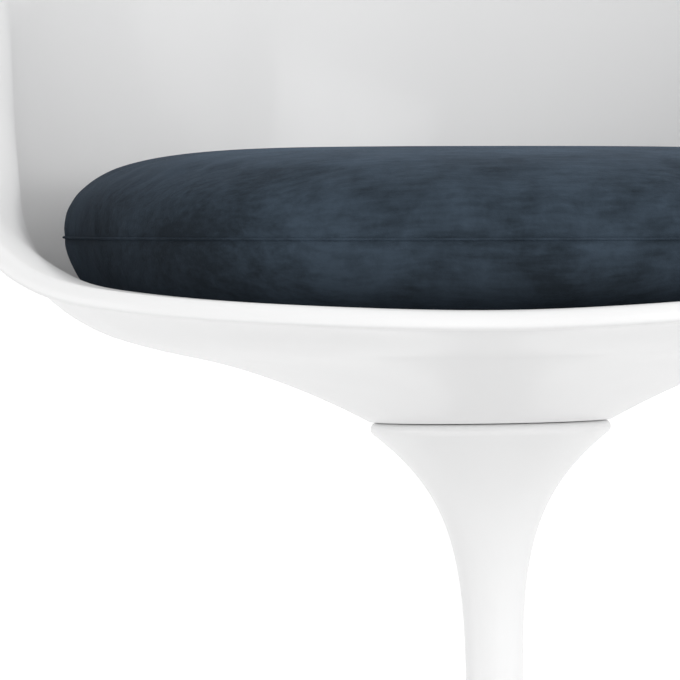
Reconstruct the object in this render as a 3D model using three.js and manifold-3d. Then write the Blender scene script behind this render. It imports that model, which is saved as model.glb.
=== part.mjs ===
// Pedestal swivel armchair: a moulded shell seat with a loose cushion turns on a trumpet pedestal.
// Millimetres. The floor is z = 0, the swivel axis is x = y = 0 and the seat faces -Y.
import * as THREE from "three";
import { mergeVertices } from "three/addons/utils/BufferGeometryUtils.js";
import Module from "manifold-3d";

const wasm = await Module();
wasm.setup();

const halfTurn = THREE.MathUtils.radToDeg(Math.PI);
const quarterTurn = halfTurn / 2;

// Fits and overruns
const restGap = 0.3; // between pieces that rest on or are cut by each other
const turnGap = 0.15; // radial, between a turning piece and what it turns in
const cutOverrun = 5;

// Pedestal casting
const baseRadius = 254;
const baseEdgeHeight = 6;
const baseClearance = 2; // casting off the floor
const castingWall = 6;
const stemRadius = 15;
const stemWaistHeight = 190;
const trumpetRimRadius = 63.2;
const trumpetBeadRadius = 3.6;
const trumpetBeadAngle = -51; // where the bead takes over from the trumpet's flare
const pedestalHeight = 330.2;
const cupRadius = 44;
const cupRimWidth = 6;
const cupDepth = 11;
const baseFlareShares = { outer: 0.55, outerRise: 0.03, inner: 0.006, innerRise: 0.045 };
const trumpetFlareShares = { lower: 0.54, upperOut: 0.16, upperRise: 0.766 };
const underFlareShares = { height: 0.29, inner: 0.18, innerRise: 0.98, outer: 0.3 };

// Floor glide ring
const glideInset = 4; // from the foot's edge
const glideWidth = 12;
const glideHeight = 4;

// Swivel cartridge
const sleeveRadius = 15;
const sleeveBore = 12;
const sleeveLength = 49;
const flangeRadius = 38;
const flangeThickness = 5;
const sleeveScrewCount = 3;
const sleeveScrewCircle = 32;
const sleeveScrewRadius = 2.5;
const sleeveScrewHead = 4.6;
const sleeveScrewLength = 15;
const bushLength = 15;
const spindleRadius = 10;
const spindleTail = 8; // spindle below the sleeve
const raceBore = 12.5;
const raceRadius = 21;
const raceThickness = 2.5;
const ballRadius = 3;
const ballCount = 12;
const ballCircle = 16.75;
const ballPlay = 0.05;
const cageThickness = 2;
const cageMargin = 1.2;
const hubRadius = 20;
const plateRadius = 55;
const plateThickness = 8;
const thrustWasherRadius = 14;
const thrustWasherThickness = 1.8;
const retainerRadius = 13;
const retainerThickness = 1.2;
const retainerGroove = 0.8;
const retainerMouth = 7;

// Seat shell
const bowlSetForward = 40; // bowl centre ahead of the swivel axis
const neckGap = 0.6; // seat above pedestal
const neckDepth = 40.2; // underside of the pan down to the neck's edge
const bowlHalfWidth = 245.5;
const bowlFront = 263.3; // ahead of the bowl's centre
const bowlBack = 232; // behind it
const panSideInset = 88.5; // pan's edge inside the bowl's wall
const panFrontInset = 95.3;
const panBackInset = 74;
const bowlRoundness = 2.3;
const bowlCornerRise = 71.4;
const shellWall = 7;
const rimThickness = 10.5;
const rimThickening = 25; // height over which the wall grows into the rim
const backLean = 0.27;
const sideLean = 0.04;
const leanStart = 40;
const lipRise = 21.1; // of the wall above the pan, before the rim rolls down
const armRise = 263;
const backRise = 428;
const armFlare = 80;
const armFlareHeight = 105;
const rimDroop = 50;
const neckRadius = 64.3;
const neckSideFlare = 193.2;
const neckFrontFlare = 250.7;
const neckCurve = 1.723;
const neckBore = 57.5;
const neckSkin = 8;
const neckHollowRadius = 126;
const recessRadius = 62;
const recessDepth = 6;
const recessFloor = 6;

// Seat fasteners
const boltCount = 4;
const boltCircle = 42;
const boltRadius = 4;
const boltClearance = 0.5;
const boltHeadRadius = 7;
const boltHeadHeight = 4;
const boltSocketRadius = 2.9;
const boltSocketDepth = 2.4;
const washerRadius = 9;
const washerThickness = 1.6;

// Cushion and its fastening pads
const cushionSideGap = 23; // to the bowl's wall
const cushionFrontGap = 22.3;
const cushionBackGap = 17;
const cushionRoundness = 2.3;
const crownPower = 2.7; // how flat the cushion's top and underside are
const sidePower = 4.76; // and how full its sides
const cushionThickness = 94.4;
const cushionSeamRise = 48.4;
const coverThickness = 1.2;
const seamWidth = 0.8;
const seamHeight = 1.8;
const padRadius = 25;
const padThickness = 1;
const padEdgeGap = 27; // to the pan's edge
const zipDepth = 0.8;
const zipEndAngle = 42; // either side of the rear
const zipEndGapAngle = 0.4;
const sliderWidth = 9;
const sliderDepth = 2.5;
const sliderHeight = 8;

// Rim stations round half of the shell, from the lip at 0 degrees to the back at 180: how far the wall
// has risen from lip to arm and from arm to back, how wide and tall its outward roll is, and how far
// the rolled rim turns down again.
const rimShares = [
  { turn: 0, toArm: 0, toBack: 0, flare: 0.182, flareRise: 0.314, droop: 0.125 },
  { turn: 22, toArm: 0.025, toBack: 0, flare: 0.291, flareRise: 0.336, droop: 0.169 },
  { turn: 42, toArm: 0.078, toBack: 0, flare: 0.412, flareRise: 0.411, droop: 0.262 },
  { turn: 52, toArm: 0.122, toBack: 0, flare: 0.475, flareRise: 0.459, droop: 0.249 },
  { turn: 60, toArm: 0.208, toBack: 0, flare: 0.536, flareRise: 0.507, droop: 0.162 },
  { turn: 68, toArm: 0.386, toBack: 0, flare: 0.643, flareRise: 0.598, droop: 0.169 },
  { turn: 77, toArm: 0.668, toBack: 0, flare: 0.761, flareRise: 0.603, droop: 0.253 },
  { turn: 88, toArm: 0.951, toBack: 0, flare: 0.896, flareRise: 0.895, droop: 0.378 },
  { turn: 100, toArm: 1.03, toBack: 0, flare: 1, flareRise: 1, droop: 0.5 },
  { turn: 125, toArm: 1, toBack: 0.19, flare: 0.57, flareRise: 0.86, droop: 0.2 },
  { turn: 150, toArm: 1, toBack: 0.75, flare: 0.25, flareRise: 0.67, droop: 0 },
  { turn: 180, toArm: 1, toBack: 1, flare: 0.17, flareRise: 0.57, droop: 0 },
];
const forwardFlareShare = 0.743; // how much of the roll also reaches forward
// Sections are spaced by their share of half a turn.
const turnSpanShares = [
  { to: 0.2, steps: 6 },
  { to: 0.53, steps: 16 },
  { to: 1, steps: 12 },
];
const innerSpacingPower = 1.15; // sections are closer together towards the rim
const outerSpacingPower = 0.85;
const leanPower = 1.5;
const dropPower = 3;
const sectionSteps = 15;
const noseSteps = 4;
const outerSteps = 9;
const underSteps = 5;
const hollowSteps = 7;
const footSteps = 10;
const trumpetSteps = 9;
const beadSteps = 4;
const roundSegments = 48;
const smallSegments = 20;
const cushionSegments = 36;
const zipSteps = 14;
const holeSegments = 12;
const hexagonSides = 6;
const ballSegments = 8;

// Sizes that follow from the ones above
const neckBottom = pedestalHeight + neckGap;
const panHeight = neckBottom + neckDepth + shellWall;
const glideOuterRadius = baseRadius - glideInset;
const cupFloor = pedestalHeight - cupDepth;
const flangeTop = cupFloor + restGap + flangeThickness;
const sleeveBottom = cupFloor + restGap - sleeveLength;
const raceBottom = flangeTop;
const ballHeight = raceBottom + raceThickness + ballPlay + ballRadius;
const upperRaceBottom = ballHeight + ballRadius + ballPlay;
const hubBottom = upperRaceBottom + raceThickness;
const pocketFloor = panHeight - recessDepth;
const plateTop = pocketFloor - recessFloor;
const plateBottom = plateTop - plateThickness;
const spindleBottom = sleeveBottom - spindleTail;
const washerTop = sleeveBottom - restGap;
const retainerTop = washerTop - thrustWasherThickness - restGap;
const panHalfWidth = bowlHalfWidth - panSideInset;
const panFront = bowlFront - panFrontInset;
const panBack = bowlBack - panBackInset;
const cushionHalfWidth = bowlHalfWidth - cushionSideGap;
const cushionFront = bowlFront - cushionFrontGap;
const cushionBack = bowlBack - cushionBackGap;
const cushionBottom = panHeight + 2 * (padThickness + restGap);
const cushionSeamHeight = cushionBottom + cushionSeamRise;
const cushionCrown = cushionBottom + cushionThickness;

const white = { color: 0xf4f4f3, roughness: 0.22, metalness: 0 };
const coated = { color: 0xf2f2f1, roughness: 0.3, metalness: 0 };
const rubber = { color: 0x1b1b1b, roughness: 0.8, metalness: 0 };
const steel = { color: 0x9a9da0, roughness: 0.35, metalness: 1 };
const polished = { color: 0xc4c7ca, roughness: 0.15, metalness: 1 };
const nylon = { color: 0xe3dfd2, roughness: 0.55, metalness: 0 };
const velvet = { color: 0x2c3742, roughness: 0.95, metalness: 0 };
const foam = { color: 0xe9e2c8, roughness: 0.95, metalness: 0 };
const tape = { color: 0x1a1f26, roughness: 0.9, metalness: 0 };

const part = new THREE.Group();

function add(name, geometry, look, parent = part) {
  const mesh = new THREE.Mesh(geometry, new THREE.MeshStandardMaterial(look));
  mesh.name = name;
  parent.add(mesh);
  return mesh;
}

function solid(geometry) {
  const bare = new THREE.BufferGeometry();
  bare.setAttribute("position", geometry.getAttribute("position"));
  bare.setIndex(geometry.index);
  const merged = mergeVertices(bare, 1e-3);
  return new wasm.Manifold(
    new wasm.Mesh({
      numProp: 3,
      vertProperties: new Float32Array(merged.attributes.position.array),
      triVerts: new Uint32Array(merged.index.array),
    }),
  );
}

function meshOf(manifold) {
  const mesh = manifold.getMesh();
  const geometry = new THREE.BufferGeometry();
  geometry.setAttribute("position", new THREE.BufferAttribute(mesh.vertProperties, 3));
  geometry.setIndex(new THREE.BufferAttribute(mesh.triVerts, 1));
  return geometry;
}

function cut(geometry, ...tools) {
  return meshOf(tools.reduce((body, tool) => body.subtract(solid(tool)), solid(geometry)));
}

// Revolves a profile of [radius, height] points about the swivel axis.
function revolve(profile, segments = roundSegments) {
  const points = profile.map(([radius, height]) => new THREE.Vector2(radius, height));
  return new THREE.LatheGeometry(points, segments).rotateX(Math.PI / 2);
}

function disc(radius, bottom, top, segments = smallSegments) {
  return revolve([[0, bottom], [radius, bottom], [radius, top], [0, top]], segments);
}

function ring(inner, outer, bottom, top, segments = smallSegments) {
  const profile = [[inner, bottom], [outer, bottom], [outer, top], [inner, top], [inner, bottom]];
  return revolve(profile, segments);
}

function bezier(points, steps) {
  const curve = new THREE.CubicBezierCurve(...points.map(([r, z]) => new THREE.Vector2(r, z)));
  return curve.getPoints(steps).map((point) => [point.x, point.y]);
}

function arc(radius, height, size, from, to, steps) {
  return Array.from({ length: steps + 1 }, (_, step) => {
    const angle = THREE.MathUtils.degToRad(from + ((to - from) * step) / steps);
    return [radius + size * Math.cos(angle), height + size * Math.sin(angle)];
  });
}

function around(count, radius, make, startTurn = 0) {
  for (let index = 0; index < count; index += 1) {
    const angle = startTurn + (2 * Math.PI * index) / count;
    make(index + 1, radius * Math.cos(angle), radius * Math.sin(angle), angle);
  }
}

// Joins rings of points, and a point at each end, into one closed surface.
function loft(first, rings, last) {
  const size = rings[0].length;
  const points = [first, ...rings.flat(), last];
  const faces = [];
  const at = (row, column) => 1 + row * size + (column % size);
  for (let column = 0; column < size; column += 1) {
    faces.push(0, at(0, column), at(0, column + 1));
    for (let row = 1; row < rings.length; row += 1) {
      faces.push(at(row - 1, column), at(row, column), at(row, column + 1));
      faces.push(at(row - 1, column), at(row, column + 1), at(row - 1, column + 1));
    }
    faces.push(points.length - 1, at(rings.length - 1, column + 1), at(rings.length - 1, column));
  }
  const geometry = new THREE.BufferGeometry().setFromPoints(points);
  geometry.setIndex(faces);
  return geometry;
}

// Smooth curve through the stations, level at both ends: a cubic spline solved for its slopes.
function spline(places, values) {
  const last = places.length - 1;
  const step = places.slice(1).map((place, index) => place - places[index]);
  const rate = values.slice(1).map((value, index) => (value - values[index]) / step[index]);
  const carry = [0];
  const slopes = [0];
  for (let index = 1; index < last; index += 1) {
    const before = 1 / step[index - 1];
    const after = 1 / step[index];
    const pivot = 2 * (before + after) - before * carry[index - 1];
    carry.push(after / pivot);
    const wanted = 3 * (rate[index - 1] * before + rate[index] * after);
    slopes.push((wanted - before * slopes[index - 1]) / pivot);
  }
  slopes.push(0);
  for (let index = last - 1; index > 0; index -= 1) {
    slopes[index] -= carry[index] * slopes[index + 1];
  }
  return (place) => {
    let index = 0;
    while (index < last - 1 && place > places[index + 1]) index += 1;
    const t = THREE.MathUtils.clamp((place - places[index]) / step[index], 0, 1);
    const level = values[index] * (1 + 2 * t) * (1 - t) ** 2 + values[index + 1] * t * t * (3 - 2 * t);
    return level + step[index] * (slopes[index] * t * (1 - t) ** 2 - slopes[index + 1] * t * t * (1 - t));
  };
}

const turns = rimShares.map((station) => station.turn);
const rimCurves = Object.fromEntries(
  ["toArm", "toBack", "flare", "flareRise", "droop"].map((key) => [
    key,
    spline(turns, rimShares.map((station) => station[key])),
  ]),
);

// Height of the wall above the pan at a turn from the front, before the rim rolls down.
function wallRise(turn) {
  const toArm = (armRise - lipRise) * rimCurves.toArm(turn);
  return lipRise + toArm + (backRise - armRise) * rimCurves.toBack(turn);
}

// Radius of a plan outline that is wider to the front or the back than to the side.
function planRadius(angle, side, front, back, roundness) {
  const depth = Math.cos(angle) > 0 ? front : back;
  const across = Math.abs(Math.sin(angle)) / side;
  const along = Math.abs(Math.cos(angle)) / depth;
  return (across ** roundness + along ** roundness) ** (-1 / roundness);
}

// Inner face of the shell at an angle from the front; along runs from the pan's edge (0) to the rim (1).
function innerPoint(angle, along) {
  const turn = Math.abs(THREE.MathUtils.radToDeg(angle));
  const top = wallRise(turn);
  const wallRadius = planRadius(angle, bowlHalfWidth, bowlFront, bowlBack, bowlRoundness);
  const panRadius = planRadius(angle, panHalfWidth, panFront, panBack, bowlRoundness);
  const cornerTurn = top < bowlCornerRise ? Math.acos(1 - top / bowlCornerRise) : Math.PI / 2;
  const cornerLength = cornerTurn * bowlCornerRise;
  const length = cornerLength + Math.max(top - bowlCornerRise, 0);
  const reached = along * length;
  const bend = Math.min(reached / bowlCornerRise, cornerTurn);
  const above = Math.max(reached - cornerLength, 0);
  const rise = bowlCornerRise * (1 - Math.cos(bend)) + above;
  const backward = Math.max(-Math.cos(angle), 0) ** leanPower;
  const lean = sideLean + (backLean - sideLean) * backward;
  const leaned = lean * (Math.hypot(above, leanStart) - leanStart);
  const radius = panRadius + (wallRadius - panRadius) * Math.sin(bend) + leaned;
  const flare = armFlare * rimCurves.flare(turn);
  const step = 0.25;
  const climb = wallRise(Math.min(turn + step, halfTurn)) - wallRise(Math.max(turn - step, 0));
  const slope = climb / (THREE.MathUtils.degToRad(2 * step) * (wallRadius + flare));
  const fromRim = (length - reached) / Math.hypot(1, slope);
  const near = Math.max(1 - fromRim / (armFlareHeight * rimCurves.flareRise(turn)), 0);
  const roll = flare * near ** 2;
  const droop = rimDroop * Math.max(rimCurves.droop(turn), 0) * near ** dropPower;
  const forward = Math.cos(angle) > 0 ? forwardFlareShare : 1;
  return new THREE.Vector3(
    Math.sin(angle) * (radius + roll),
    -bowlSetForward - Math.cos(angle) * (radius + forward * roll),
    panHeight + rise - droop,
  );
}

// Unit vectors square to the inner face, pointing out of the bowl, and along it towards the rim.
function innerFrame(angle, along) {
  const step = 1e-4;
  const low = Math.max(along - step, 0);
  const high = Math.min(along + step, 1);
  const across = innerPoint(angle + step, along).sub(innerPoint(angle - step, along));
  const up = innerPoint(angle, high).sub(innerPoint(angle, low)).normalize();
  return { out: new THREE.Vector3().crossVectors(across, up).normalize(), up };
}

// How far the underside is drawn down towards the neck at a plan position.
function neckFall(x, y) {
  const reach = Math.hypot(x, y);
  const ahead = Math.max(-y / Math.max(reach, neckBore), 0);
  const flare = neckSideFlare + (neckFrontFlare - neckSideFlare) * ahead ** 2;
  const share = THREE.MathUtils.clamp((reach - neckRadius) / (flare - neckRadius), 0, 1);
  return neckDepth * (1 - share) ** neckCurve;
}

// Outer face: the wall's thickness outside the inner face, thicker towards the rim.
function outerPoint(angle, along) {
  const rise = wallRise(Math.abs(THREE.MathUtils.radToDeg(angle)));
  const near = Math.max(1 - ((1 - along) * rise) / rimThickening, 0);
  const wall = shellWall + (rimThickness - shellWall) * near ** 2;
  const point = innerPoint(angle, along).addScaledVector(innerFrame(angle, along).out, wall);
  point.z -= neckFall(point.x, point.y);
  return point;
}

// Half-round edge that joins the inner face to the outer face.
function rimNose(angle, share) {
  const { out, up } = innerFrame(angle, 1);
  const inside = innerPoint(angle, 1);
  const outside = outerPoint(angle, 1);
  const bend = (share - 0.5) * Math.PI;
  return inside
    .add(outside)
    .multiplyScalar(0.5)
    .addScaledVector(out, (rimThickness / 2) * Math.sin(bend))
    .addScaledVector(up, (rimThickness / 2) * Math.cos(bend));
}

// From the pan's outer edge in to the round neck.
function underPoint(angle, share) {
  const edge = outerPoint(angle, 0);
  const reach = Math.hypot(edge.x, edge.y);
  const scale = (neckRadius + (reach - neckRadius) * share) / reach;
  const point = new THREE.Vector3(edge.x * scale, edge.y * scale, panHeight - shellWall);
  point.z -= neckFall(point.x, point.y);
  return point;
}

function shellAngles() {
  const half = [0];
  for (const span of turnSpanShares) {
    const from = half[half.length - 1];
    const to = halfTurn * span.to;
    for (let step = 1; step <= span.steps; step += 1) {
      half.push(from + ((to - from) * step) / span.steps);
    }
  }
  const mirrored = half.slice(1, -1).map((turn) => -turn);
  return [...half, ...mirrored.reverse()].map((turn) => THREE.MathUtils.degToRad(turn));
}

function seatShell() {
  const angles = shellAngles();
  const rings = [];
  const addRing = (pointAt, share) => rings.push(angles.map((angle) => pointAt(angle, share)));
  for (let step = 0; step <= sectionSteps; step += 1) {
    addRing(innerPoint, 1 - (1 - step / sectionSteps) ** innerSpacingPower);
  }
  for (let step = 1; step < noseSteps; step += 1) addRing(rimNose, step / noseSteps);
  for (let step = 0; step <= outerSteps; step += 1) {
    addRing(outerPoint, (1 - step / outerSteps) ** outerSpacingPower);
  }
  for (let step = 1; step <= underSteps; step += 1) addRing(underPoint, 1 - step / underSteps);
  const panCentre = new THREE.Vector3(0, -bowlSetForward, panHeight);
  const neckCentre = new THREE.Vector3(0, 0, neckBottom);
  const moulding = loft(panCentre, rings, neckCentre);

  const ceiling = plateTop;
  const skinAt = (radius) => panHeight - shellWall - neckFall(radius, 0) + neckSkin;
  const hollow = [[0, neckBottom - cutOverrun], [neckBore, neckBottom - cutOverrun]];
  for (let step = 0; step <= hollowSteps; step += 1) {
    const radius = neckBore + ((neckHollowRadius - neckBore) * step) / hollowSteps;
    hollow.push([radius, Math.min(skinAt(radius), ceiling - restGap)]);
  }
  hollow.push([neckHollowRadius, ceiling], [0, ceiling]);
  const tools = [revolve(hollow), disc(recessRadius, pocketFloor, panHeight + cutOverrun, roundSegments)];
  const boltHole = boltRadius + boltClearance;
  const drill = () => disc(boltHole, plateTop - cutOverrun, panHeight + cutOverrun, holeSegments);
  around(boltCount, boltCircle, (_, x, y) => tools.push(drill().translate(x, y, 0)), Math.PI / 4);
  add("seat_shell", cut(moulding, ...tools), white);
}

function pedestal() {
  const beadCentre = trumpetRimRadius - trumpetBeadRadius;
  const beadHeight = pedestalHeight - trumpetBeadRadius;
  const bead = arc(beadCentre, beadHeight, trumpetBeadRadius, trumpetBeadAngle, quarterTurn, beadSteps);
  const trumpetEnd = bead[0];
  const rise = stemWaistHeight;
  const edge = (baseEdgeHeight - baseClearance) / 2;
  const flare = baseFlareShares;
  const base = bezier(
    [
      [baseRadius - edge, baseEdgeHeight],
      [baseRadius * flare.outer, baseEdgeHeight + rise * flare.outerRise],
      [stemRadius + baseRadius * flare.inner, baseEdgeHeight + rise * flare.innerRise],
      [stemRadius, rise],
    ],
    footSteps,
  );
  const bell = trumpetFlareShares;
  const bellRise = trumpetEnd[1] - rise;
  const bellOut = trumpetEnd[0] - stemRadius;
  const trumpet = bezier(
    [
      [stemRadius, rise],
      [stemRadius, rise + bellRise * bell.lower],
      [stemRadius + bellOut * bell.upperOut, rise + bellRise * bell.upperRise],
      trumpetEnd,
    ],
    trumpetSteps,
  );
  const rim = arc(baseRadius - edge, baseClearance + edge, edge, -quarterTurn, quarterTurn, noseSteps);
  const glideInner = glideOuterRadius - glideWidth;
  const groove = [
    [glideInner - restGap, baseClearance],
    [glideInner - restGap, glideHeight + restGap],
    [glideOuterRadius + restGap, glideHeight + restGap],
    [glideOuterRadius + restGap, baseClearance],
  ];
  const hollowed = underFlareShares;
  const underHeight = stemWaistHeight * hollowed.height;
  const under = bezier(
    [
      [0, underHeight],
      [baseRadius * hollowed.inner, underHeight * hollowed.innerRise],
      [baseRadius * hollowed.outer, baseClearance + castingWall],
      [glideInner - castingWall, baseClearance],
    ],
    hollowSteps,
  );
  const cup = [
    [cupRadius + cupRimWidth, pedestalHeight],
    [cupRadius, cupFloor],
    [sleeveRadius + restGap, cupFloor],
    [sleeveRadius + restGap, spindleBottom - cutOverrun],
    [0, spindleBottom - cutOverrun],
  ];
  const profile = [...under, ...groove, ...rim, ...base.slice(1), ...trumpet.slice(1)];
  profile.push(...bead.slice(1), ...cup);
  const holes = [];
  const holeBottom = flangeTop - sleeveScrewLength - restGap;
  around(sleeveScrewCount, sleeveScrewCircle, (_, x, y) => {
    const hole = disc(sleeveScrewRadius + turnGap, holeBottom, cupFloor + cutOverrun, holeSegments);
    holes.push(hole.translate(x, y, 0));
  });
  add("pedestal_casting", cut(revolve(profile), ...holes), coated);
  add("floor_glide_ring", ring(glideInner, glideOuterRadius, 0, glideHeight, roundSegments), rubber);
}

function swivelCartridge() {
  const flangeBottom = cupFloor + restGap;
  const sleeve = revolve(
    [
      [sleeveBore, sleeveBottom],
      [sleeveRadius, sleeveBottom],
      [sleeveRadius, flangeBottom],
      [flangeRadius, flangeBottom],
      [flangeRadius, flangeTop],
      [sleeveBore, flangeTop],
      [sleeveBore, sleeveBottom],
    ],
    smallSegments,
  );
  const headDepth = sleeveScrewHead - sleeveScrewRadius;
  const slotBottom = flangeTop - headDepth / 2;
  const seat = (gap, top) => [
    [0, flangeTop - sleeveScrewLength],
    [sleeveScrewRadius + gap, flangeTop - sleeveScrewLength],
    [sleeveScrewRadius + gap, flangeTop - headDepth],
    [sleeveScrewHead + gap, flangeTop],
    ...(top > flangeTop ? [[sleeveScrewHead + gap, top]] : []),
    [0, top],
  ];
  const sinks = [];
  around(sleeveScrewCount, sleeveScrewCircle, (index, x, y) => {
    sinks.push(revolve(seat(turnGap, flangeTop + cutOverrun), holeSegments).translate(x, y, 0));
    const slot = disc(sleeveScrewRadius / 2, slotBottom, flangeTop + cutOverrun, hexagonSides);
    const screw = cut(revolve(seat(0, flangeTop), holeSegments), slot);
    add("sleeve_screw_" + index, screw.translate(x, y, 0), steel);
  });
  add("bearing_sleeve", cut(sleeve, ...sinks), steel);

  const bush = (bottom) =>
    ring(spindleRadius + turnGap, sleeveBore - turnGap, bottom, bottom + bushLength);
  add("upper_bush", bush(flangeTop - bushLength), nylon);
  add("lower_bush", bush(sleeveBottom), nylon);
  add("lower_race", ring(raceBore, raceRadius, raceBottom, raceBottom + raceThickness), polished);
  add("upper_race", ring(raceBore, raceRadius, upperRaceBottom, hubBottom), polished);

  const pocket = ballRadius + ballPlay;
  const cageReach = cageThickness / 2 + ballRadius;
  const pockets = [];
  around(ballCount, ballCircle, (index, x, y) => {
    const hole = disc(pocket, ballHeight - cageReach, ballHeight + cageReach, ballSegments);
    pockets.push(hole.translate(x, y, 0));
    const ball = new THREE.SphereGeometry(ballRadius, ballSegments, ballSegments / 2 + 1);
    ball.rotateX(Math.PI / 2);
    add("bearing_ball_" + String(index).padStart(2, "0"), ball.translate(x, y, ballHeight), polished);
  });
  const cage = ring(
    ballCircle - ballRadius - cageMargin + ballPlay,
    ballCircle + ballRadius + cageMargin,
    ballHeight - cageThickness / 2,
    ballHeight + cageThickness / 2,
  );
  add("ball_cage", cut(cage, ...pockets), nylon);
}

function seatMount() {
  const spindleTop = plateTop;
  const grooveTop = retainerTop;
  const spindle = revolve(
    [
      [0, spindleBottom],
      [spindleRadius, spindleBottom],
      [spindleRadius, grooveTop - retainerThickness - restGap],
      [spindleRadius - retainerGroove, grooveTop - retainerThickness - restGap],
      [spindleRadius - retainerGroove, grooveTop],
      [spindleRadius, grooveTop],
      [spindleRadius, spindleTop],
      [0, spindleTop],
    ],
    smallSegments,
  );
  add("spindle", spindle, steel);

  const bore = spindleRadius + turnGap;
  const plate = revolve(
    [
      [bore, hubBottom],
      [hubRadius, hubBottom],
      [hubRadius, plateBottom],
      [plateRadius, plateBottom],
      [plateRadius, plateTop],
      [bore, plateTop],
      [bore, hubBottom],
    ],
    smallSegments,
  );
  const tapped = [];
  const boltBottom = plateBottom;
  const headBottom = pocketFloor + washerThickness;
  around(
    boltCount,
    boltCircle,
    (index, x, y) => {
      const thread = boltRadius + turnGap;
      const hole = disc(thread, plateBottom - cutOverrun, plateTop + cutOverrun, holeSegments);
      tapped.push(hole.translate(x, y, 0));
      const dome = arc(0, headBottom, 1, 0, quarterTurn, noseSteps).map(([r, z]) => [
        boltHeadRadius * r,
        headBottom + boltHeadHeight * (z - headBottom),
      ]);
      const profile = [[0, boltBottom], [boltRadius, boltBottom], [boltRadius, headBottom], ...dome];
      const socket = disc(
        boltSocketRadius,
        headBottom + boltHeadHeight - boltSocketDepth,
        headBottom + boltHeadHeight + cutOverrun,
        hexagonSides,
      );
      add("seat_bolt_" + index, cut(revolve(profile, holeSegments), socket).translate(x, y, 0), steel);
      const washer = ring(boltRadius + turnGap, washerRadius, pocketFloor, headBottom);
      add("seat_washer_" + index, washer.translate(x, y, 0), steel);
    },
    Math.PI / 4,
  );
  add("swivel_plate", cut(plate, ...tapped), steel);

  const washerBottom = washerTop - thrustWasherThickness;
  add("thrust_washer", ring(bore, thrustWasherRadius, washerBottom, washerTop), nylon);
  const clip = ring(
    spindleRadius - retainerGroove + turnGap,
    retainerRadius,
    retainerTop - retainerThickness,
    retainerTop,
  );
  const mouthReach = retainerRadius + cutOverrun;
  const mouth = new THREE.BoxGeometry(mouthReach, retainerMouth, retainerThickness + cutOverrun);
  mouth.translate(mouthReach / 2, 0, retainerTop - retainerThickness / 2);
  add("retaining_ring", cut(clip, mouth), steel);
}

// Point of the cushion's rounded outline, inset from it and scaled in by a share.
function cushionEdge(angle, inset, scaleShare = 1) {
  const along = (value) => Math.sign(value) * Math.abs(value) ** (2 / cushionRoundness);
  const depth = Math.cos(angle) > 0 ? cushionFront : cushionBack;
  return [
    (cushionHalfWidth - inset) * scaleShare * along(Math.sin(angle)),
    -bowlSetForward - (depth - inset) * scaleShare * along(Math.cos(angle)),
  ];
}

function cushionRing(scaleShare, height, inset) {
  return Array.from({ length: cushionSegments }, (_, index) => {
    const angle = (2 * Math.PI * index) / cushionSegments;
    return new THREE.Vector3(...cushionEdge(angle, inset, scaleShare), height);
  });
}

// Rings from the seam to the pole: full sides that turn over into a low crown.
const cushionRiseShares = [0, 0.35, 0.62, 0.82, 0.93, 0.985];
function domeRings(fromHeight, toHeight, inset) {
  return cushionRiseShares.map((share) => {
    const scaleShare = (1 - share ** crownPower) ** (1 / sidePower);
    return cushionRing(scaleShare, fromHeight + (toHeight - fromHeight) * share, inset);
  });
}

function coverPanel(name, seamSide, pole) {
  const inward = Math.sign(pole - seamSide) * coverThickness;
  const outer = domeRings(seamSide, pole, 0);
  const inner = domeRings(seamSide, pole - inward, coverThickness);
  const outerPole = new THREE.Vector3(0, -bowlSetForward, pole);
  const innerPole = new THREE.Vector3(0, -bowlSetForward, pole - inward);
  const rings = [...outer.reverse(), ...inner];
  if (pole < seamSide) rings.forEach((points) => points.reverse());
  add(name, loft(outerPole, rings, innerPole), velvet);
}

function cushion() {
  const halfSeam = seamHeight / 2;
  const upper = cushionSeamHeight + halfSeam + restGap;
  const lower = cushionSeamHeight - halfSeam - restGap;
  coverPanel("cushion_top_cover", upper, cushionCrown);
  coverPanel("cushion_bottom_cover", lower, cushionBottom);

  const inset = coverThickness + restGap;
  const topRings = domeRings(upper, cushionCrown - inset, inset).reverse();
  const bottomRings = domeRings(lower, cushionBottom + inset, inset);
  const poleAt = (height) => new THREE.Vector3(0, -bowlSetForward, height);
  const rings = [...topRings, ...bottomRings];
  const core = loft(poleAt(cushionCrown - inset), rings, poleAt(cushionBottom + inset));
  add("cushion_core", core, foam);
}

// A strip that follows the cushion's seam line between two turns from the front.
function seamStrip(fromTurn, toTurn, steps, insideInset, outsideInset, height) {
  const row = (inset) =>
    Array.from({ length: steps + 1 }, (_, step) => {
      const angle = THREE.MathUtils.degToRad(fromTurn + ((toTurn - fromTurn) * step) / steps);
      return new THREE.Vector2(...cushionEdge(angle, inset));
    });
  const outline = new THREE.Shape([...row(outsideInset), ...row(insideInset).reverse()]);
  const strip = new THREE.ExtrudeGeometry(outline, { depth: height, bevelEnabled: false });
  return strip.translate(0, 0, cushionSeamHeight - height / 2);
}

function seamAndZip() {
  const zipFrom = halfTurn - zipEndAngle;
  const zipTo = halfTurn + zipEndAngle;
  const ridgeFrom = zipTo + zipEndGapAngle;
  const ridgeTo = 2 * halfTurn + zipFrom - zipEndGapAngle;
  const ridge = seamStrip(ridgeFrom, ridgeTo, cushionSegments, restGap, -seamWidth, seamHeight);
  add("cushion_seam", ridge, velvet);
  add("zip_tape", seamStrip(zipFrom, zipTo, zipSteps, zipDepth, -seamWidth, seamHeight), tape);
  const slider = new THREE.BoxGeometry(sliderWidth, sliderDepth, sliderHeight);
  const rear = cushionBack - bowlSetForward;
  slider.translate(0, rear + seamWidth + restGap + sliderDepth / 2, cushionSeamHeight);
  add("zip_slider", slider, steel);
}

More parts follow.
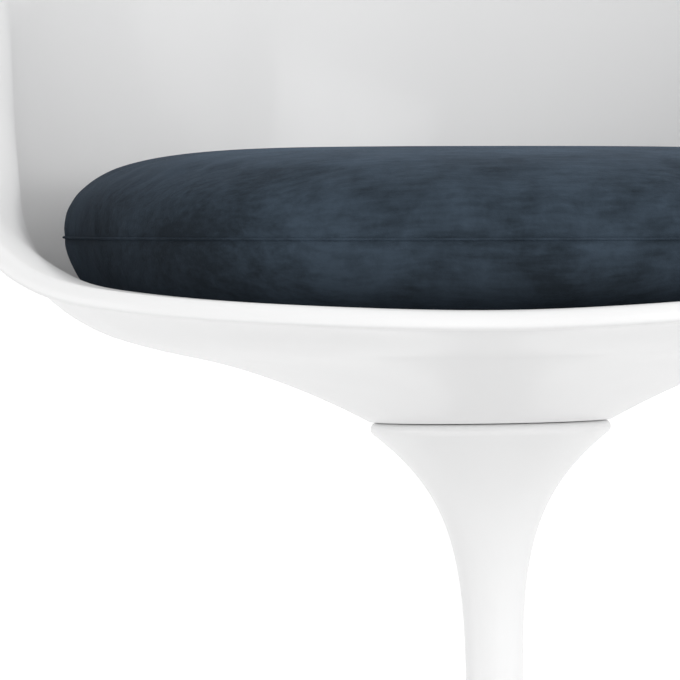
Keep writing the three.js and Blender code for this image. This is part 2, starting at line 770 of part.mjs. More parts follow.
function fasteningPads() {
  const inset = padEdgeGap + padRadius;
  const places = [
    [inset - panHalfWidth, -bowlSetForward],
    [panHalfWidth - inset, -bowlSetForward],
    [0, -bowlSetForward - panFront + inset],
  ];
  const hookTop = panHeight + restGap / 2 + padThickness;
  places.forEach(([x, y], index) => {
    const hook = disc(padRadius, panHeight + restGap / 2, hookTop);
    const loop = disc(padRadius, hookTop, hookTop + padThickness);
    add("hook_pad_" + (index + 1), hook.translate(x, y, 0), tape);
    add("loop_pad_" + (index + 1), loop.translate(x, y, 0), tape);
  });
}

pedestal();
swivelCartridge();
seatMount();
seatShell();
fasteningPads();
cushion();
seamAndZip();

export default part;
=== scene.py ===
import bpy
import numpy as np
from mathutils import Matrix, Vector


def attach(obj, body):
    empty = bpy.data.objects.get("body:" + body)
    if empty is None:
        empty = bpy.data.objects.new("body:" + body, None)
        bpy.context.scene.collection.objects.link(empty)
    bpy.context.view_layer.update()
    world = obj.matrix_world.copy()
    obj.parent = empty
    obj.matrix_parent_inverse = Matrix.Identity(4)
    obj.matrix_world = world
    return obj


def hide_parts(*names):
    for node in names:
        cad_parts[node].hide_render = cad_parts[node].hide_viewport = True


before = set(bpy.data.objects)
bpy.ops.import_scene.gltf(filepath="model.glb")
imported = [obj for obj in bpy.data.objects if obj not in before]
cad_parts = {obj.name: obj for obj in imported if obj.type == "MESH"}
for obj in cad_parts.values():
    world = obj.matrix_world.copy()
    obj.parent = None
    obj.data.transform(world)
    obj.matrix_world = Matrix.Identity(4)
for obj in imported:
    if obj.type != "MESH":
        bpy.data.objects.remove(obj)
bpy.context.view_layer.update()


# Studio and camera
# A plain pale studio: an endless white floor that keeps the chair's own shadow, a white surround, a
# large soft lamp in front with a weaker one on either side, and a long lens before the chair.
def add_node(tree, kind, inputs, **settings):
    """A new shader node of a kind. Its settings are made first, then each input is given its value, or
    is linked where the value is another node's output."""
    made = tree.nodes.new("ShaderNode" + kind)
    for name, value in settings.items():
        setattr(made, name, value)
    for name, value in inputs.items():
        if isinstance(value, bpy.types.NodeSocket):
            tree.links.new(value, made.inputs[name])
        else:
            made.inputs[name].default_value = value
    return made


def background_rays(tree):
    """An output that is 1 for the rays that show the background: to the camera, in gloss, through glass."""
    path = add_node(tree, "LightPath", {})
    shown = path.outputs["Is Camera Ray"]
    for kind in ("Is Glossy Ray", "Is Transmission Ray"):
        shown = add_node(tree, "Math", {0: shown, 1: path.outputs[kind]}, operation="MAXIMUM").outputs[0]
    return shown


floor_size = 90.0
floor_height = -0.0005
floor_white = 0.92
floor_lift = 0.3  # makes the floor white where it is seen, without lighting the chair
surround_light = 0.8
surround_shown = 1.0

floor_corners = np.array([[-1, -1], [1, -1], [1, 1], [-1, 1]]) * floor_size / 2
floor_places = np.column_stack([floor_corners, np.full(4, floor_height)])
floor_mesh = bpy.data.meshes.new("studio_floor")
floor_mesh.from_pydata(floor_places.tolist(), [], [[0, 1, 2, 3]])
floor = bpy.data.objects.new("studio_floor", floor_mesh)
bpy.context.scene.collection.objects.link(floor)
floor_paint = bpy.data.materials.new("studio_floor_white")
floor_paint.use_nodes = True
tree = floor_paint.node_tree
surface = tree.nodes["Principled BSDF"]
surface.inputs["Base Color"].default_value = (floor_white, floor_white, floor_white, 1)
surface.inputs["Roughness"].default_value = 0.9
surface.inputs["Specular IOR Level"].default_value = 0.1
lift = add_node(tree, "Math", {0: background_rays(tree), 1: floor_lift}, operation="MULTIPLY")
glow = add_node(tree, "Emission", {"Strength": lift.outputs[0]})
both = add_node(tree, "AddShader", {0: surface.outputs["BSDF"], 1: glow.outputs[0]})
tree.links.new(both.outputs[0], tree.nodes["Material Output"].inputs["Surface"])
floor.data.materials.append(floor_paint)

sky = bpy.data.worlds.new("studio_surround")
bpy.context.scene.world = sky
sky.use_nodes = True
tree = sky.node_tree
level = add_node(
    tree, "MapRange", {"Value": background_rays(tree), "To Min": surround_light, "To Max": surround_shown}
)
tree.links.new(level.outputs["Result"], tree.nodes["Background"].inputs["Strength"])
tree.nodes["Background"].inputs["Color"].default_value = (1, 1, 1, 1)


def soft_lamp(name, place, target, width, height, power):
    """A rectangular lamp at a place, turned to face its target."""
    data = bpy.data.lights.new(name, "AREA")
    data.shape = "RECTANGLE"
    data.size = width
    data.size_y = height
    data.energy = power
    lamp = bpy.data.objects.new(name, data)
    lamp.location = place
    lamp.rotation_euler = (Vector(target) - Vector(place)).to_track_quat("-Z", "Y").to_euler()
    lamp.visible_camera = False
    bpy.context.scene.collection.objects.link(lamp)


soft_lamp("front_lamp", (1.5, -3.2, 1.4), target=(0, -0.05, 0.42), width=2.2, height=1.6, power=35)
soft_lamp("right_lamp", (3.0, -0.8, 1.6), target=(0, -0.05, 0.4), width=2.0, height=2.0, power=10)
soft_lamp("left_lamp", (-3.0, -0.8, 0.7), target=(0, -0.05, 0.35), width=2.0, height=1.2, power=10)

photo_scale = 1900.0  # picture points per metre at the swivel axis
photo_size = 680.0
camera_distance = 4.0
camera_height = 0.451
camera_turn = np.radians(2.0)
camera_roll = np.radians(0.9)
film_width = 36.0
mark_place = np.array([0.0, 0.0, 0.33])  # on the swivel axis, at the seat's neck
photo_mark = (490.5, 421.0)  # where the photo shows it, from the left and from the top
mark_right = (photo_mark[0] - photo_size / 2) / photo_scale
mark_up = (photo_size / 2 - photo_mark[1]) / photo_scale
ahead = np.array([np.sin(camera_turn), np.cos(camera_turn), 0.0])
right = np.array([np.cos(camera_turn), -np.sin(camera_turn), 0.0])
up = np.array([0.0, 0.0, 1.0])
right_rolled = right * np.cos(camera_roll) - up * np.sin(camera_roll)
up_rolled = up * np.cos(camera_roll) + right * np.sin(camera_roll)
aim = mark_place - mark_right * right_rolled - mark_up * up_rolled
camera_place = -ahead * camera_distance + np.array([0.0, 0.0, camera_height])
sight = aim - camera_place
sight_length = np.linalg.norm(sight)
sight = sight / sight_length
side = np.cross(sight, up_rolled)
side = side / np.linalg.norm(side)
top = np.cross(side, sight)
lens = bpy.data.cameras.new("photo_camera")
lens.sensor_width = film_width
lens.lens = film_width * sight_length * photo_scale / photo_size
lens.clip_end = 200.0
camera = bpy.data.objects.new("photo_camera", lens)
turned = Matrix((side, top, -sight)).transposed().to_4x4()
camera.matrix_world = Matrix.Translation(camera_place) @ turned
bpy.context.scene.collection.objects.link(camera)
bpy.context.scene.camera = camera
bpy.context.scene.view_settings.view_transform = "Standard"


# Pedestal
# One aluminium casting, sprayed and baked with a white coating: a wide thin foot that sweeps up into a
# slim stem and opens again into a trumpet, whose rolled rim stands just under the seat's neck.
def closed_surface(name, rows, smooth_angle):
    """A surface on a grid of rows by columns of points, closed round the columns, with its first and
    last row each drawn together to their mean point. Edges bent by more than the angle stay sharp."""
    count, around = rows.shape[:2]
    ends = np.stack([rows[0].mean(0), rows[-1].mean(0)])
    places = np.concatenate([rows.reshape(-1, 3), ends])
    index = np.arange(count * around).reshape(count, around)
    following = np.roll(index, -1, axis=1)
    quads = np.stack([index[:-1], index[1:], following[1:], following[:-1]], -1).reshape(-1, 4)
    first = np.stack([np.full(around, count * around), index[0], following[0]], -1)
    last = np.stack([np.full(around, count * around + 1), following[-1], index[-1]], -1)
    mesh = bpy.data.meshes.new(name)
    mesh.vertices.add(len(places))
    mesh.vertices.foreach_set("co", places.ravel())
    corners = np.concatenate([quads.ravel(), first.ravel(), last.ravel()])
    sizes = np.concatenate([np.full(len(quads), 4), np.full(len(first) + len(last), 3)])
    mesh.loops.add(len(corners))
    mesh.loops.foreach_set("vertex_index", corners.astype(np.int32))
    mesh.polygons.add(len(sizes))
    mesh.polygons.foreach_set("loop_start", (np.cumsum(sizes) - sizes).astype(np.int32))
    mesh.update(calc_edges=True)
    mesh.validate()
    mesh.shade_smooth()
    mesh.set_sharp_from_angle(angle=np.radians(smooth_angle))
    piece = bpy.data.objects.new(name, mesh)
    bpy.context.scene.collection.objects.link(piece)
    return piece


def turned_rows(profile, around=192):
    """A profile of radius and height points carried round the swivel axis: at each turn, the radius
    times the turn's cosine and sine."""
    turn = np.linspace(0, 2 * np.pi, around, endpoint=False)
    radius = profile[:, 0][:, None]
    height = profile[:, 1][:, None] + 0 * turn
    return np.stack([radius * np.cos(turn), radius * np.sin(turn), height], -1)


def bezier(points, steps):
    """A cubic Bezier curve of four control points, without its first point: their sum, weighted by
    powers of the share of the way gone and of the share left."""
    p = np.array(points, float)
    t = (np.arange(1, steps + 1) / steps)[:, None]
    return p[0] * (1 - t) ** 3 + 3 * p[1] * t * (1 - t) ** 2 + 3 * p[2] * t**2 * (1 - t) + p[3] * t**3


def arc(radius, height, size, start, end, steps):
    """A profile's circular arc from one angle to another in degrees: the centre's radius and height,
    plus the arc's size times the angle's cosine and sine."""
    angle = np.radians(np.linspace(start, end, steps + 1))
    return np.stack([radius + size * np.cos(angle), height + size * np.sin(angle)], -1)


near_axis = 0.0008  # where a turned profile ends, before its rows are drawn together on the axis
base_radius = 0.254
base_edge = 0.002  # radius of the foot's rounded edge, and its height above the floor
foot_top = 3 * base_edge
stem_radius = 0.015
stem_waist = 0.19
foot_pull = (0.55, 0.03)  # handles of the foot's curve: shares of the base radius and the waist's height
waist_pull = (0.006, 0.045)
bell_pull = 0.54  # handles of the trumpet's curve: shares of its rise and its reach
mouth_pull = (0.16, 0.766)
bead_radius = 0.0036
bead_centre = (0.0596, 0.3266)
bead_start = -51.0
bead = arc(*bead_centre, bead_radius, bead_start, 90, 14)
foot_rim = arc(base_radius - base_edge, 2 * base_edge, base_edge, -90, 90, 8)
foot = bezier(
    [
        (base_radius - base_edge, foot_top),
        (base_radius * foot_pull[0], foot_top + stem_waist * foot_pull[1]),
        (stem_radius + base_radius * waist_pull[0], foot_top + stem_waist * waist_pull[1]),
        (stem_radius, stem_waist),
    ],
    60,
)
bell_rise = bead[0, 1] - stem_waist
bell_out = bead[0, 0] - stem_radius
bell = bezier(
    [
        (stem_radius, stem_waist),
        (stem_radius, stem_waist + bell_rise * bell_pull),
        (stem_radius + bell_out * mouth_pull[0], stem_waist + bell_rise * mouth_pull[1]),
        bead[0],
    ],
    48,
)
hollow_height = stem_waist * 0.29
hollow_edge = 0.232
hollow_pull = (0.18, 0.98)  # handles of the hollow's curve: shares of the base radius and its height,
hollow_corner = (0.3, 0.008)  # then a share of the base radius, and a height
underside = bezier(
    [
        (near_axis, hollow_height),
        (base_radius * hollow_pull[0], hollow_height * hollow_pull[1]),
        (base_radius * hollow_corner[0], hollow_corner[1]),
        (hollow_edge, base_edge),
    ],
    30,
)
groove_inner, groove_outer, groove_top = 0.2377, 0.2503, 0.0043  # holds the glide ring
groove = np.array(
    [
        (groove_inner, base_edge),
        (groove_inner, groove_top),
        (groove_outer, groove_top),
        (groove_outer, base_edge),
    ]
)
pedestal_height = 0.3302
cup_mouth, cup_radius, cup_floor, cup_corner = 0.05, 0.0445, 0.3192, 0.0005  # holds the bearing
bore_radius, bore_floor = 0.0153, 0.2575
cup = np.array(
    [
        (cup_mouth, pedestal_height),
        (cup_radius, cup_floor + cup_corner),
        (cup_radius - cup_corner, cup_floor),
        (bore_radius, cup_floor),
        (bore_radius, bore_floor),
        (near_axis, bore_floor),
    ]
)
start = np.array([(near_axis, hollow_height)])
outline = np.concatenate([start, underside, groove, foot_rim, foot, bell, bead[1:], cup])
casting = closed_surface("pedestal_casting_skin", turned_rows(outline), smooth_angle=35)
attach(casting, "pedestal")
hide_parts("pedestal_casting")


def finish_of(name, colour, roughness, metal=0.0):
    """A new material with its colour, roughness and metalness set on its shader."""
    made = bpy.data.materials.new(name)
    made.use_nodes = True
    shader = made.node_tree.nodes["Principled BSDF"]
    shader.inputs["Base Color"].default_value = (*colour, 1)
    shader.inputs["Roughness"].default_value = roughness
    shader.inputs["Metallic"].default_value = metal
    return made


def dress(node, look):
    """Gives a carried-over solid its material."""
    piece = bpy.data.objects[node]
    piece.data.materials.clear()
    piece.data.materials.append(look)


def effect_group(name, inputs, outputs):
    """A new shader node group, given back with the sockets that bring its inputs and take its outputs."""
    group = bpy.data.node_groups.new(name, "ShaderNodeTree")
    for in_out, sockets in (("INPUT", inputs), ("OUTPUT", outputs)):
        for socket, kind in sockets.items():
            group.interface.new_socket(socket, in_out=in_out, socket_type="NodeSocket" + kind)
    given = group.nodes.new("NodeGroupInput").outputs
    return group, given, group.nodes.new("NodeGroupOutput").inputs


coating_group, given, result = effect_group(
    "sprayed_coating",
    {
        "Base": "Color",
        "Shade": "Color",
        "Low Roughness": "Float",
        "High Roughness": "Float",
        "Peel Size": "Float",
        "Peel Depth": "Float",
    },
    {"Color": "Color", "Roughness": "Float", "Normal": "Vector"},
)
spot = add_node(coating_group, "TexCoord", {}).outputs["Object"]
cloud = add_node(coating_group, "TexNoise", {"Scale": 5.0, "Detail": 3.0, "Vector": spot})
tone = add_node(
    coating_group,
    "Mix",
    {"Factor": cloud.outputs["Fac"], "A": given["Base"], "B": given["Shade"]},
    data_type="RGBA",
)
haze = add_node(coating_group, "TexNoise", {"Scale": 38.0, "Detail": 5.0, "Vector": spot})
spread = add_node(
    coating_group,
    "MapRange",
    {
        "Value": haze.outputs["Fac"],
        "From Min": 0.3,
        "From Max": 0.7,
        "To Min": given["Low Roughness"],
        "To Max": given["High Roughness"],
    },
)
peel = add_node(coating_group, "TexNoise", {"Detail": 1.0, "Vector": spot, "Scale": given["Peel Size"]})
peel_bump = add_node(
    coating_group, "Bump", {"Strength": 1.0, "Distance": given["Peel Depth"], "Height": peel.outputs["Fac"]}
)
coating_group.links.new(tone.outputs["Result"], result["Color"])
coating_group.links.new(spread.outputs["Result"], result["Roughness"])
coating_group.links.new(peel_bump.outputs["Normal"], result["Normal"])


def coated(name, base, shade, roughness, peel_size, peel_depth, coat):
    """A moulded or sprayed glossy skin: cloudy tone, hazy gloss and a faint orange peel."""
    made = finish_of(name, base, roughness[0])
    tree = made.node_tree
    shader = tree.nodes["Principled BSDF"]
    settings = {
        "Base": (*base, 1),
        "Shade": (*shade, 1),
        "Low Roughness": roughness[0],
        "High Roughness": roughness[1],
        "Peel Size": peel_size,
        "Peel Depth": peel_depth,
    }
    coating = add_node(tree, "Group", settings, node_tree=coating_group)
    tree.links.new(coating.outputs["Color"], shader.inputs["Base Color"])
    tree.links.new(coating.outputs["Roughness"], shader.inputs["Roughness"])
    tree.links.new(coating.outputs["Normal"], shader.inputs["Normal"])
    shader.inputs["Coat Weight"].default_value = coat
    shader.inputs["Coat Roughness"].default_value = 0.08
    return made


casting.data.materials.append(
    coated(
        "pedestal_white_coating",
        base=(0.87, 0.87, 0.87),
        shade=(0.86, 0.86, 0.862),
        roughness=(0.3, 0.38),
        peel_size=420.0,
        peel_depth=0.00002,
        coat=0.25,
    )
)


# Seat shell
# One moulded glass-fibre shell: a shallow pan curves up into the back and arms, its rim rolls outwards,
# and its underside is drawn down into the round neck that turns on the pedestal.
def through(places, values):
    """Smooth curve through stations, level at both ends: the cubic spline whose second derivative is
    continuous, returned as a function of the place."""
    places = np.array(places, float)
    values = np.array(values, float)
    gap = np.diff(places)
    rate = np.diff(values) / gap
    system = np.zeros((len(places), len(places)))
    wanted = np.zeros(len(places))
    system[0, 0] = system[-1, -1] = 1
    inner = np.arange(1, len(places) - 1)
    system[inner, inner - 1] = 1 / gap[:-1]
    system[inner, inner] = 2 / gap[:-1] + 2 / gap[1:]
    system[inner, inner + 1] = 1 / gap[1:]
    wanted[inner] = 3 * (rate[:-1] / gap[:-1] + rate[1:] / gap[1:])
    slope = np.linalg.solve(system, wanted)

    def at(place):
        index = np.clip(np.searchsorted(places, place, side="right") - 1, 0, len(places) - 2)
        t = np.clip((place - places[index]) / gap[index], 0, 1)
        level = values[index] * (1 + 2 * t) * (1 - t) ** 2 + values[index + 1] * t * t * (3 - 2 * t)
        return level + gap[index] * (slope[index] * t * (1 - t) ** 2 - slope[index + 1] * t * t * (1 - t))

    return at


shell_wall = 0.007
rim_thickness = 0.0105
rim_thickening = 0.025
bowl_ahead = 0.04
pan_height = 0.378
pan_half_width = 0.157
pan_front = 0.168
pan_back = 0.158
bowl_half_width = 0.2455
bowl_front = 0.2633
bowl_back = 0.232
bowl_roundness = 2.3
corner_rise = 0.0714
back_lean = 0.27
side_lean = 0.04
lean_start = 0.04
neck_radius = 0.0643
neck_bottom = 0.3308
neck_side_flare = 0.1932
neck_front_flare = 0.2507
neck_curve = 1.723
forward_flare_share = 0.743
lip_height = 0.3991
arm_height = 0.6410
back_height = 0.806
arm_flare = 0.08
arm_flare_height = 0.105
arm_droop = 0.05
rim_turn = [0, 22, 42, 52, 60, 68, 77, 88, 100, 125, 150, 180]
rim_to_arm = [0.0, 0.025, 0.078, 0.122, 0.208, 0.386, 0.668, 0.951, 1.03, 1.0, 1.0, 1.0]
rim_to_back = [0, 0, 0, 0, 0, 0, 0, 0, 0, 0.19, 0.75, 1]
rim_flare = [0.182, 0.291, 0.412, 0.475, 0.536, 0.643, 0.761, 0.896, 1.0, 0.57, 0.25, 0.17]
rim_flare_rise = [0.314, 0.336, 0.411, 0.459, 0.507, 0.598, 0.603, 0.895, 1.0, 0.86, 0.67, 0.57]
rim_droop = [0.125, 0.169, 0.262, 0.249, 0.162, 0.169, 0.253, 0.378, 0.5, 0.2, 0.0, 0.0]
rise_to_arm = through(rim_turn, rim_to_arm)
rise_to_back = through(rim_turn, rim_to_back)
flare_at = through(rim_turn, rim_flare)
flare_rise_at = through(rim_turn, rim_flare_rise)
droop_at = through(rim_turn, rim_droop)


def rim_height(turn):
    """Height of the rim: the lip's, plus the rise to the arm by one smooth curve of the turn, plus the
    rise from the arm to the back by another."""
    to_arm = (arm_height - lip_height) * rise_to_arm(turn)
    return lip_height + to_arm + (back_height - arm_height) * rise_to_back(turn)


def plan_radius(angle, side, front, back):
    """Radius of a superellipse whose front and back half-lengths differ: the direction's two parts are
    divided by the half-lengths, raised to the roundness and added, and the root is turned over."""
    depth = np.where(np.cos(angle) > 0, front, back)
    across = np.abs(np.sin(angle)) / side
    along = np.abs(np.cos(angle)) / depth
    return (across**bowl_roundness + along**bowl_roundness) ** (-1 / bowl_roundness)


def inner_point(angle, along):
    """Inner face of the shell. From the pan's edge the section turns up through a quarter arc, climbs
    as a leaning wall, and is rolled outwards by the square of its nearness to the rim."""
    turn = np.degrees(np.abs(angle))
    top = rim_height(turn) - pan_height
    wall = plan_radius(angle, bowl_half_width, bowl_front, bowl_back)
    pan = plan_radius(angle, pan_half_width, pan_front, pan_back)
    corner_turn = np.where(top < corner_rise, np.arccos(np.clip(1 - top / corner_rise, -1, 1)), np.pi / 2)
    corner_length = corner_turn * corner_rise
    length = corner_length + np.maximum(top - corner_rise, 0)
    reached = along * length
    bend = np.minimum(reached / corner_rise, corner_turn)
    above = np.maximum(reached - corner_length, 0)
    rise = corner_rise * (1 - np.cos(bend)) + above
    backward = np.maximum(-np.cos(angle), 0) ** 1.5
    lean = side_lean + (back_lean - side_lean) * backward
    leaned = lean * (np.hypot(above, lean_start) - lean_start)
    radius = pan + (wall - pan) * np.sin(bend) + leaned
    flare = arm_flare * flare_at(turn)
    step = 0.25  # degrees over which the rim's slope is taken
    climb = rim_height(np.minimum(turn + step, 180)) - rim_height(np.maximum(turn - step, 0))
    slope = climb / (np.radians(2 * step) * (wall + flare))
    from_rim = (length - reached) / np.hypot(1, slope)
    near = np.maximum(1 - from_rim / (arm_flare_height * flare_rise_at(turn)), 0)
    roll = flare * near**2
    droop = arm_droop * droop_at(turn) * near**3
    forward = np.where(np.cos(angle) > 0, forward_flare_share, 1)
    x = np.sin(angle) * (radius + roll)
    y = -bowl_ahead - np.cos(angle) * (radius + forward * roll)
    return np.stack([x, y, pan_height + rise - droop], -1)


def inner_frame(angle, along):
    """Unit vectors square to the inner face and pointing out of the bowl, and along it to the rim: the
    second is a small step up the face, and the first is a small step round it crossed with that."""
    step = 1e-4
    round_it = inner_point(angle + step, along) - inner_point(angle - step, along)
    up_it = inner_point(angle, np.minimum(along + step, 1)) - inner_point(angle, np.maximum(along - step, 0))
    up_it = up_it / np.linalg.norm(up_it, axis=-1, keepdims=True)
    out = np.cross(round_it, up_it)
    return out / np.linalg.norm(out, axis=-1, keepdims=True), up_it


def neck_fall(x, y):
    """How far the underside is drawn down: the neck's depth times a power of the share left of the way
    from the neck's edge out to the flare, which reaches farther in front."""
    reach = np.hypot(x, y)
    facing = np.maximum(-y / np.maximum(reach, 1e-6), 0)
    flare = neck_side_flare + (neck_front_flare - neck_side_flare) * facing**2
    share = np.clip((reach - neck_radius) / (flare - neck_radius), 0, 1)
    return (pan_height - shell_wall - neck_bottom) * (1 - share) ** neck_curve


def outer_point(angle, along):
    """Outer face: the inner face moved out by the wall and drawn down to the neck."""
    out = inner_frame(angle, along)[0]
    height = rim_height(np.degrees(np.abs(angle))) - pan_height
    near = np.clip(1 - (1 - along) * height / rim_thickening, 0, 1)
    wall = shell_wall + (rim_thickness - shell_wall) * near**2
    place = inner_point(angle, along) + out * wall[..., None]
    return place - np.stack([0 * angle, 0 * angle, neck_fall(place[..., 0], place[..., 1])], -1)


columns = 288
angle = np.linspace(-np.pi, np.pi, columns, endpoint=False)[None, :]
inside_share = (1 - (1 - np.linspace(0, 1, 56)) ** 1.15)[:, None]  # rows stand closer towards the rim
outside_share = (np.linspace(1, 0, 48) ** 0.85)[:, None]
inner_rows = inner_point(angle + 0 * inside_share, inside_share + 0 * angle)
outer_rows = outer_point(angle + 0 * outside_share, outside_share + 0 * angle)
out, along_rim = inner_frame(angle, 1 + 0 * angle)
middle = (inner_rows[-1] + outer_rows[0]) / 2
nose_foremost = 0.55  # the rim's edge rounds slowly from above and turns in sharply below
bend = np.linspace(0, np.pi, 20)[1:-1][:, None, None]
across = nose_foremost - np.where(bend < np.pi / 2, 1 + nose_foremost, 1 - nose_foremost) * np.cos(bend)
nose_rows = middle + rim_thickness / 2 * (out * across + along_rim * np.sin(bend))

pan_edge = inner_rows[0]
edge_turn = np.arctan2(pan_edge[:, 1], pan_edge[:, 0])
recess_radius = 0.062  # round recess in the pan for the bolts' heads
recess_floor = pan_height - 0.006
recess_corner = 0.0008
recess_rounding = 0.0006
shell_axis_gap = 0.001  # radius of the rows that are drawn together on the axis


def level_ring(radius, height):
    """A level circle about the swivel axis: the radius times the cosine and sine of the turns at which
    the pan's edge points stand."""
    return np.stack([radius * np.cos(edge_turn), radius * np.sin(edge_turn), height + 0 * edge_turn], -1)


spread = np.linspace(0, 1, 10)[1:-1][:, None, None]
pan_rows = level_ring(recess_radius + recess_corner, pan_height) * (1 - spread) + pan_edge * spread
recess = np.array(
    [
        (shell_axis_gap, recess_floor),
        (recess_radius - recess_rounding, recess_floor),
        (recess_radius, recess_floor + recess_rounding),
        (recess_radius, pan_height - recess_corner),
        (recess_radius + recess_corner, pan_height),
    ]
)
recess_rows = np.stack([level_ring(radius, height) for radius, height in recess])
under_edge = outer_rows[-1]
under_turn = np.arctan2(under_edge[:, 1], under_edge[:, 0])
under_reach = np.hypot(under_edge[:, 0], under_edge[:, 1])
share = np.linspace(1, 0, 26)[1:][:, None]
reach = neck_radius + (under_reach - neck_radius) * share
x = reach * np.cos(under_turn)
y = reach * np.sin(under_turn)
under_rows = np.stack([x, y, pan_height - shell_wall - neck_fall(x, y)], -1)
neck_face = 0.3306
neck_edge = 0.0005
neck_bore = 0.0575  # clears the swivel plate
bore_corner = 0.0006
bore_top = 0.3388
neck_hollow = [(0.07, 0.3418), (0.09, 0.3516)]  # the space in the neck, under the pan
hollow_reach = 0.126
hollow_top = 0.366
hollow_rounding = 0.0003
hollow = np.array(
    [
        (neck_radius - neck_edge, neck_face),
        (neck_bore + bore_corner, neck_face),
        (neck_bore, neck_face + bore_corner),
        (neck_bore, bore_top),
        *neck_hollow,
        (hollow_reach, hollow_top - hollow_rounding),
        (hollow_reach, hollow_top),
        (shell_axis_gap, hollow_top),
    ]
)
hollow_rows = np.stack([level_ring(radius, height) for radius, height in hollow])
shell_rows = np.concatenate(
    [recess_rows, pan_rows, inner_rows, nose_rows, outer_rows, under_rows, hollow_rows]
)
shell = closed_surface("seat_shell_skin", shell_rows, smooth_angle=50)
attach(shell, "seat")
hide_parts("seat_shell")
shell.data.materials.append(
    coated(
        "shell_white_gelcoat",
        base=(0.85, 0.85, 0.85),
        shade=(0.84, 0.84, 0.843),
        roughness=(0.3, 0.36),
        peel_size=260.0,
        peel_depth=0.00002,
        coat=0.2,
    )
)


# Bearing and fasteners
# Swivel cartridge in the pedestal's cup, plate and spindle on the seat, and the screws, bolts and
# washers that hold them: turned steel, zinc-plated steel, polished bearing steel and white nylon.
turned_steel = finish_of("turned_steel", (0.52, 0.53, 0.54), roughness=0.34, metal=1.0)
tree = turned_steel.node_tree
spot = add_node(tree, "TexCoord", {}).outputs["Object"]
stretch = add_node(tree, "Mapping", {"Vector": spot, "Scale": (1.0, 1.0, 40.0)})
rings = add_node(tree, "TexNoise", {"Vector": stretch.outputs["Vector"], "Scale": 60.0})
ring_bump = add_node(tree, "Bump", {"Height": rings.outputs["Fac"], "Distance": 0.00005})
tree.links.new(ring_bump.outputs["Normal"], tree.nodes["Principled BSDF"].inputs["Normal"])
for node in ["bearing_sleeve", "swivel_plate", "spindle", "retaining_ring"]:
    dress(node, turned_steel)


speckle_group, given, result = effect_group(
    "fine_speckle",
    {"Light": "Color", "Dark": "Color", "Scale": "Float", "Depth": "Float"},
    {"Color": "Color", "Normal": "Vector"},
)
spot = add_node(speckle_group, "TexCoord", {}).outputs["Object"]
speck = add_node(
    speckle_group, "TexNoise", {"Vector": spot, "Scale": given["Scale"], "Detail": 4.0}
).outputs["Fac"]
lightness = add_node(speckle_group, "MapRange", {"Value": speck, "From Min": 0.35, "From Max": 0.65})
tone = add_node(
    speckle_group,
    "Mix",
    {"Factor": lightness.outputs["Result"], "A": given["Dark"], "B": given["Light"]},
    data_type="RGBA",
)
speck_bump = add_node(speckle_group, "Bump", {"Height": speck, "Distance": given["Depth"]})
speckle_group.links.new(tone.outputs["Result"], result["Color"])
speckle_group.links.new(speck_bump.outputs["Normal"], result["Normal"])


def speckled(name, light, dark, roughness, scale, metal=0.0, depth=0.00002):
    """A fine speckle that moves the colour between two tones and lifts the surface a little."""
    made = finish_of(name, light, roughness, metal)
    tree = made.node_tree
    shader = tree.nodes["Principled BSDF"]
    settings = {"Light": (*light, 1), "Dark": (*dark, 1), "Scale": scale, "Depth": depth}
    speckle = add_node(tree, "Group", settings, node_tree=speckle_group)
    tree.links.new(speckle.outputs["Color"], shader.inputs["Base Color"])
    tree.links.new(speckle.outputs["Normal"], shader.inputs["Normal"])
    return made


zinc = speckled("zinc_steel", (0.66, 0.67, 0.66), (0.5, 0.52, 0.54), roughness=0.32, scale=240.0, metal=1.0)
for number in (1, 2, 3):
    dress(f"sleeve_screw_{number}", zinc)
for number in (1, 2, 3, 4):
    dress(f"seat_bolt_{number}", zinc)
    dress(f"seat_washer_{number}", zinc)
bearing_light, bearing_dark = (0.75, 0.76, 0.77), (0.7, 0.71, 0.73)
bearing = speckled(
    "bearing_steel", bearing_light, bearing_dark, roughness=0.14, scale=400.0, metal=1.0, depth=0.00001
)
for node in ["lower_race", "upper_race"] + [f"bearing_ball_{number:02d}" for number in range(1, 13)]:
    dress(node, bearing)
nylon = speckled("nylon_white", (0.84, 0.82, 0.76), (0.78, 0.76, 0.7), roughness=0.5, scale=300.0)
for node in ["upper_bush", "lower_bush", "ball_cage", "thrust_washer"]:
    dress(node, nylon)


# Glide ring
# A ring of black rubber, pressed into the groove under the foot. It alone touches the floor, and it
# keeps the casting's edge clear of it.
rubber_light, rubber_dark = (0.035, 0.035, 0.036), (0.02, 0.02, 0.021)
rubber = speckled(
    "glide_black_rubber", rubber_light, rubber_dark, roughness=0.75, scale=500.0, depth=0.00008
)
dress("floor_glide_ring", rubber)


# Hook and loop pads
# Three pairs of round black hook and loop pads, glued to the pan and sewn to the cushion's underside,
# keep the loose cushion from sliding and let it lift off.
pad_light, pad_dark = (0.05, 0.05, 0.055), (0.015, 0.015, 0.018)
pad_cloth = speckled("pad_black_cloth", pad_light, pad_dark, roughness=0.95, scale=1400.0, depth=0.0004)
for number in (1, 2, 3):
    dress(f"hook_pad_{number}", pad_cloth)
    dress(f"loop_pad_{number}", pad_cloth)


